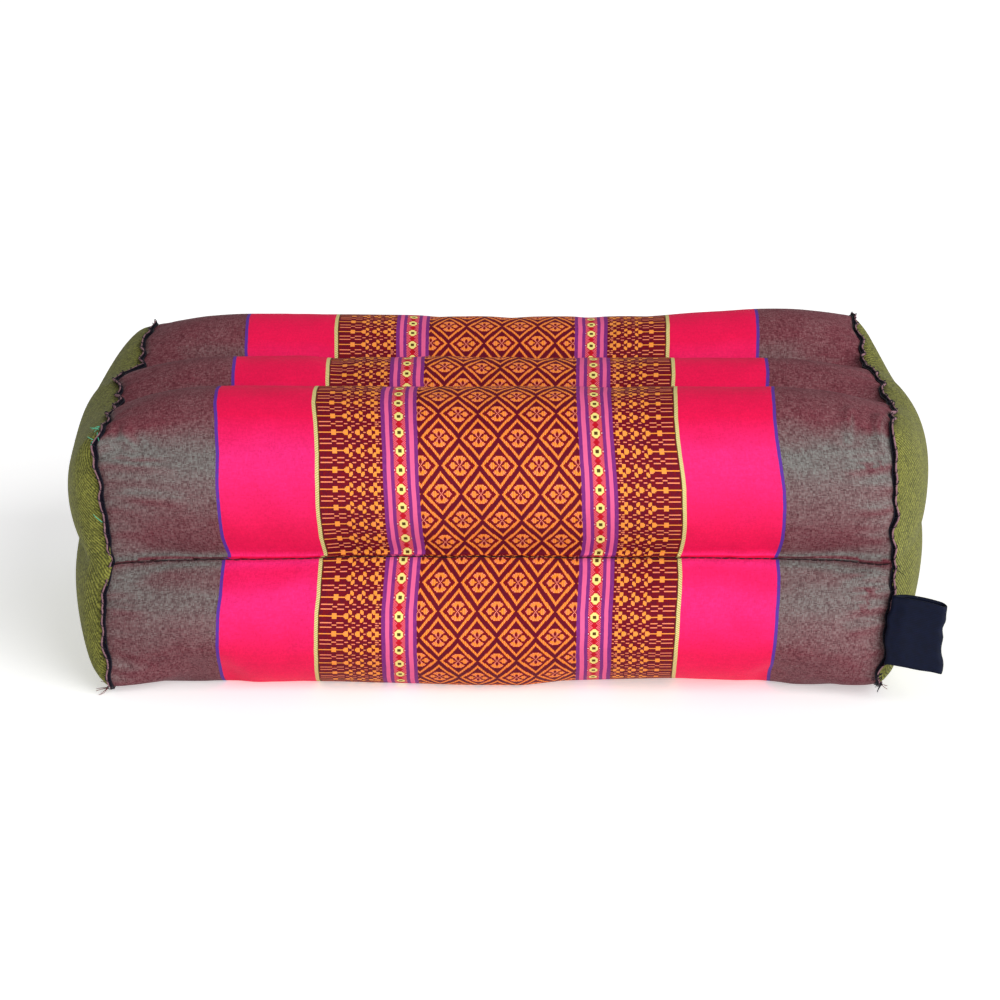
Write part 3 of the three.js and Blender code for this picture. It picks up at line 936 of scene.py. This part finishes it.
# A cell of the field, where a row of flowers lies, and half a repeat each way in cells
DIAMOND = dict(wide=0.39, high=0.518, start=-2.0, across=20, along=22)
RING = (16.9, 15.7)  # cells from a flower's middle to the corners of the line round it
FLOWER = [  # a quarter flower, from its centre out
    "x..OOOOOOOx",
    ".x...OOOOx.",
    "..x...OOO..",
    "..xx.......",
    "..OOOO.....",
    ".OOOOOx....",
    "OOOOOx.....",
    "OOOx.......",
    "...........",
]
SMALL = dict(cell=0.478, start=3.4, repeat=16)  # a cell of the narrower bands
SIDE_BAND = [  # half a repeat, from a row of flowers to the dashes between, outer edge first
    "ooooooooooooooooooooo" + "oooo...pp." * 2 + "oooo...ooooo",
    "...........oooo......" + "oooo......" * 2 + "oooo...ooo..",
    "...........oooo......" + ".ooo.oo..." * 2 + ".ooo.ooooo..",
    "....................." + "....ooo..." * 2 + "....ooo.....",
    "....................." + "....ooo..." * 2 + "....ooo.....",
    "....................." + "....oo...." * 2 + "....ooo.....",
    ".pppppppppp....pppppp" + ".......ppp" * 2 + ".......pp.pp",
    "....................." + ".........." * 2 + "............",
    "...........pppp......" + ".ppp......" * 2 + ".ppp...ppp..",
]
RED_BAND = [  # from the middle of a flower out
    "kkyy.w",
    "kkyy..",
    "yyyyd.",
    "yyy..d",
    "yy..d.",
    "...d.d",
    "..d.d.",
    "...d.d",
    "....d.",
]
RED_YARNS = dict(y="flower_yellow", k="flower_brown", d="dot_pink", w="dot_pale")
BITS = 20


def marked(column, row, rows, letter):
    """1 where the chart shows the letter: a row's marks are the bits of three numbers on a stepped ramp."""
    look = row.look
    steps = look.add("ValToRGB", (row + 0.5) / len(rows))
    band = steps.socket.node.color_ramp
    band.interpolation = "CONSTANT"
    while len(band.elements) < len(rows):
        band.elements.new(0.5)
    for i, marks in enumerate(rows):
        words = [marks[s : s + BITS] for s in (0, BITS, 2 * BITS)]
        words = [sum(2**k for k, m in enumerate(word) if m == letter) / 2**BITS for word in words]
        band.elements[i].position = i / len(rows)
        band.elements[i].color = words + [1]
    which = column.cell(BITS)
    word = 0.25
    for k, part in enumerate(look.add("SeparateColor", steps).outputs(0, 1, 2)):
        word = part * (which.maths("COMPARE", k, 0.5) * 2**BITS) + word
    bit = look.add("Math.POWER", 2.0, column - which * BITS)
    return word.cell(bit).maths("MODULO", 2.0) * column.under(len(rows[0]) - 0.5)


def folded(value, repeat):
    """Distance from the nearest multiple of repeat, in whole cells."""
    return ((value + repeat / 2).maths("FLOORED_MODULO", repeat) - repeat / 2).bare()


def cotton_cover():
    """Handwoven striped cotton: matt, soft-edged stripes, raised floats in the patterned bands."""
    look = Look("handwoven_cotton")
    flat, u, v = look.flat()
    far = u.bare()

    # The field of diamonds with a flower in each
    i = (u / DIAMOND["wide"]).rounded()
    j = ((v - DIAMOND["start"]) / DIAMOND["high"]).rounded()
    half_x, half_y = DIAMOND["across"], DIAMOND["along"]
    cx, cy = folded(i, 2 * half_x), folded(j, 2 * half_y)
    over = (cx / half_x + cy / half_y).above(1.0)
    sign = over * -2.0 + 1.0
    cx, cy = cx * sign + over * half_x, cy * sign + over * half_y
    ring = cx / RING[0] + cy / RING[1]
    row = cy.maths("MINIMUM", len(FLOWER) - 1)
    petal = ring.maths("COMPARE", 1.0, 0.1).larger(marked(cx, row, FLOWER, "O"))
    heart = marked(cx, row, FLOWER, "x")
    speck = look.specks(i, j)
    deep = (cy.above(8.5) * ring.under(0.86)).larger(ring.above(1.17))
    ground = look.blend(deep * 0.45 + speck * 0.45, "maroon", "plum")
    tone = (speck * 0.35 + look.noise(flat, 0.8, 2)).fit(0.42, 0.95, 0, 1)
    warm = look.blend(tone, "orange", "peach")
    ply = i.maths("FLOORED_MODULO", 2.0) * 0.5
    field = look.blend(petal, ground, look.blend(ply, warm, "rust"))
    field = look.blend(heart, field, "flower_pink")

    # The bands beside it, on their own cells
    k = ((v - SMALL["start"]) / SMALL["cell"]).rounded()
    row = folded(k, SMALL["repeat"])
    column = (BAND_OUT - far).cell(SMALL["cell"]).larger(0.0)
    dash, pale = (marked(column, row, SIDE_BAND, letter) for letter in "op")
    speck = look.specks(column, k)
    band = look.blend(speck * 0.8, "maroon", "plum")
    band = look.blend(dash, band, warm)
    band = look.blend(pale, band, look.blend(speck, "peach", "flower_pink"))
    column = ((far - RED_MIDDLE) / SMALL["cell"]).rounded().bare()
    red = look.blend(speck * 0.6, "red", "maroon")
    for letter, yarn in RED_YARNS.items():
        red = look.blend(marked(column, row, RED_BAND, letter), red, yarn)

    # The mauve is woven from red and grey-green, which show in uneven patches. A grey-green sheen is
    # painted on the crowns that face forwards, so it is redder on top and underneath; the pink gets the
    # same painted sheen, with crimson as painted shade on its slopes
    streak = look.noise(look.stretched(flat, 0.06, 0.5, 1), 1, 4, 0.7)
    cloudy = look.noise(flat, 0.07, 3)
    speckle = look.noise(flat, 0.9, 3, 0.8)
    long, short = 1.1, 0.45  # mm of one thread that shows, and its width
    fine = look.specks(u.cell(short), v.cell(long)) + look.specks(u.cell(long), v.cell(short))
    fine = fine * 0.5
    facing = look.add("SeparateXYZ", look.add("NewGeometry", out="Normal"), out=2)
    # Painted sheen: 1 where the cloth faces forwards, falling to 0 on top and underneath
    painted_sheen_on_crowns = facing.fit(0.5, 0.82, 1, 0) * facing.fit(-0.4, 0.35, 0.1, 1)
    painted_grey_sheen = painted_sheen_on_crowns * v.fit(-30, -8, 0.68, 1)
    pick = streak * 0.3 + cloudy * 0.45 + speckle * 0.8 + fine * 0.55 + painted_grey_sheen * 1.1
    mauve = look.blend(pick.fit(0.85, 2.35, 0, 1), "mauve_red", "mauve_grey")
    mauve = look.shaded(mauve, fine.fit(0, 1, 0.5, 1.5))
    # Painted sheen and shade on the pink: bright pink on the forward crowns, crimson on the slopes
    pink = look.blend(painted_sheen_on_crowns, "crimson", look.blend(fine, "hot_pink", "bright_pink"))
    pink = look.shaded(pink, fine.fit(0, 1, 0.9, 1.06))

    # A twisted mark runs along the pale yellow stripe
    twist = (v * 6.5 + far * 4.0).maths("SINE").above(0.35)
    dyed = look.noise(look.stretched(flat, 2.2, 0.5, 1), 1, 2).fit(0.35, 0.65, 0, 1)
    shown = {
        "violet": look.blend(dyed, "violet", "violet_blue"),
        "purple": look.blend(dyed, "purple", "purple_red"),
        "pale_yellow": look.blend(twist, "pale_yellow", "ochre"),
        "side_band": band,
        "red_band": red,
        "hot_pink": pink,
        "mauve": mauve,
    }
    edge = (look.noise(flat, 0.06, 3) - 0.5) * 0.8 + far
    colour = field
    for begins, name in STRIPES:
        colour = look.blend(edge.above(begins), colour, shown.get(name, name))

    # Uneven dye in soft patches, then painted light and shade: lighter to the right, darker underneath and
    # down in the channels
    painted_light_and_shade = u.fit(-SEAM_HALF, SEAM_HALF, 0.97, 1.06) * facing.fit(-0.55, 0.15, 0.79, 1)
    for at in sewn_at:
        line = float(at if at < around_ring.max() else at - girth)
        # Painted shade down in a channel, within about a millimetre of its sewn line
        sunk = (v - line).bare().fit(0.25, 1.1, 0.7, 0)
        if at:
            sunk = sunk * far.fit(118, 140, 1, 0)
        painted_light_and_shade = painted_light_and_shade * (1.0 - sunk)
    faded = (streak + cloudy).fit(0.6, 1.4, 0.93, 1.05)
    colour = look.shaded(colour, faded * painted_light_and_shade)

    # Relief: raised floats, then the crossing of single threads
    middle = far.under(FIELD_HALF)
    floats = (petal * middle).larger(dash * (far.under(BAND_OUT) - middle))
    relief = u.wave(THREAD) * v.wave(THREAD) * 0.3 + floats + streak * 0.6
    return look.skin(colour, (relief, 0.5, 0.00012), Roughness=0.6, IOR=1.46, Specular_IOR_Level=0.12)


def olive_twill():
    """Plain olive cotton twill: matt, with a fine diagonal line and a little uneven dye."""
    look = Look("olive_cotton_twill")
    flat, u, v = look.flat()
    ramp = (u + v).wave(1.9)
    fine = look.noise(flat, 2.4, 2, 0.7)
    pick = ramp * 0.4 + fine * 1.3 + look.noise(flat, 0.08, 6, 0.65) * 0.7
    colour = look.blend(pick.fit(0.45, 1.55, 0, 1), "#46471A", "#88883C")
    knot = look.specks((u + v).cell(0.8), (u - v).cell(1.0))
    return look.skin(
        look.shaded(colour, knot.fit(0, 1, 0.45, 1.45)), (ramp + fine, 0.5, 0.00012),
        Roughness=0.8, IOR=1.46, Specular_IOR_Level=0.2, Sheen_Weight=0.05,
    )


def raw_edge():
    """The cover's own cloth cut raw: near black below, for its stitching and as painted shade in the gap
    beside the cover, pale and fraying along its edge.
    """
    look = Look("raw_cotton_edge")
    flat, _, up = look.flat()
    fray = look.noise(look.stretched(flat, 1.6, 0.5, 1), 1, 4, 0.7)
    high = up + (fray - 0.5) * 0.35
    tip = look.blend(fray, "#6E4A56", "#A88288")
    return look.skin(
        # Near black at the root: dense stitching, and painted shade in the gap beside the cover
        look.blend(high.fit(0.86, 1, 0, 1) * high.fit(1.45, 2, 1, 0.2), "#090612", tip),
        (fray, 0.8, 0.0004), Roughness=0.85, IOR=1.46, Specular_IOR_Level=0.1, Sheen_Weight=0.03,
    )


def sewing_thread(name, dark, light):
    """Twisted polyester sewing thread: a slight gloss, with its ply as a fine slanted ridge."""
    look = Look(name)
    where = look.add("TexCoord", out="Object")
    ply = look.add(
        "TexWave", out="Fac", Vector=where, Scale=900.0, Distortion=1.5,
        wave_type="BANDS", bands_direction="DIAGONAL",
    )
    return look.skin(
        look.blend(ply * look.noise(where, 300, 3), dark, light), (ply, 0.5, 0.0001),
        Roughness=0.5, IOR=1.5, Specular_IOR_Level=0.2, Sheen_Weight=0.02,
    )


def label_satin():
    """Woven satin ribbon: smooth and dark, with a fine rib across and a firm selvedge."""
    look = Look("navy_satin_ribbon")
    flat, u, v = look.flat()
    rib = v.wave(0.7)
    pick = rib * 0.2 + look.noise(flat, 0.35, 4)
    return look.skin(
        look.blend(pick.fit(0.2, 0.9, 0, 1), "#050B1E", "#0B1430"), (rib * u.wave(0.5), 0.35, 0.00008),
        Roughness=0.55, IOR=1.5, Specular_IOR_Level=0.14,
    )


navy_thread = sewing_thread("navy_sewing_thread", "#08060F", "#1C1630")
for pieces, made in [
    ([cover], cotton_cover()),
    (end_cloths.values(), olive_twill()),
    (edges.values(), raw_edge()),
    ([*overcasts.values(), loose["navy"]], navy_thread),
    # The channel stitches' near-black thread also paints the shade down in each channel
    ([stitches], sewing_thread("wine_thread_as_channel_shade", "#14060C", "#2C0E18")),
    ([loose["wine"]], sewing_thread("wine_yarn", "#5A1420", "#A03A3C")),
    ([loose["mint"]], sewing_thread("mint_thread", "#3FA884", "#7FD8B4")),
    ([label], label_satin()),
]:
    for piece in pieces:
        piece.data.materials.append(made)

# Room: a wide pale floor, even light from all round and one wide sun from the right front


def floor_paper():
    """White studio paper on a lit table: matt, almost without mark."""
    look = Look("white_paper")
    grain = look.add("TexNoise", out="Fac", Scale=60.0, Detail=4.0)
    return look.skin(
        look.blend(grain, "#FBFBFB", "#FFFFFF"),
        Roughness=0.9, IOR=1.45, Emission_Color=(1, 1, 1, 1), Emission_Strength=0.42,
    )


FLOOR_HALF, FLOOR_AT = 60000, -0.2
corners = [(-1, -1), (1, -1), (1, 1), (-1, 1)]
corners = [(x * FLOOR_HALF, y * FLOOR_HALF, FLOOR_AT) for x, y in corners]
floor = mesh_piece("floor", corners, [(0, 1, 2, 3)])
floor.data.materials.append(floor_paper())

world = bpy.data.worlds.new("studio")
bpy.context.scene.world = world
world.use_nodes = True
world.node_tree.nodes["Background"].inputs[0].default_value = (1, 1, 1, 1)
world.node_tree.nodes["Background"].inputs[1].default_value = 0.38


def placed(name, data, where, aim):
    """A lamp or camera at one point, turned to look at another."""
    made = bpy.data.objects.new(name, data)
    bpy.context.scene.collection.objects.link(made)
    made.location = where
    made.rotation_euler = (Vector(aim) - made.location).to_track_quat("-Z", "Y").to_euler()
    return made


sun = bpy.data.lights.new("key", "SUN")
sun.energy = 2.65
sun.angle = math.radians(50)
placed("key", sun, (1.0, -1.0, 0.64), (0, 0, 0))

# The photograph's view
VIEW = dict(target=(-0.2, 0, 55.6), distance=1138, pitch=18.5, yaw=0.87, lens=95.4)
camera = bpy.data.cameras.new("camera")
camera.sensor_fit = "HORIZONTAL"
camera.sensor_width = 36
camera.lens = VIEW["lens"]
camera.clip_start = 0.05
pitch, yaw = math.radians(VIEW["pitch"]), math.radians(VIEW["yaw"])
away = (math.sin(yaw) * math.cos(pitch), -math.cos(yaw) * math.cos(pitch), math.sin(pitch))
bpy.context.scene.camera = placed(
    "camera",
    camera,
    [(c + VIEW["distance"] * d) * MM for c, d in zip(VIEW["target"], away)],
    [c * MM for c in VIEW["target"]],
)
bpy.context.scene.view_settings.view_transform = "Standard"

# What each piece stands for
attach(cover, "root")
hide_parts("cushion_body")
for side, name in SIDES.items():
    for piece in (end_cloths[side], edges[side], overcasts[side]):
        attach(piece, "root")
    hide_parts("end_panel_" + name)
for piece in loose.values():
    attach(piece, "root")
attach(stitches, "root")
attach(label, "root")
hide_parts("side_label")
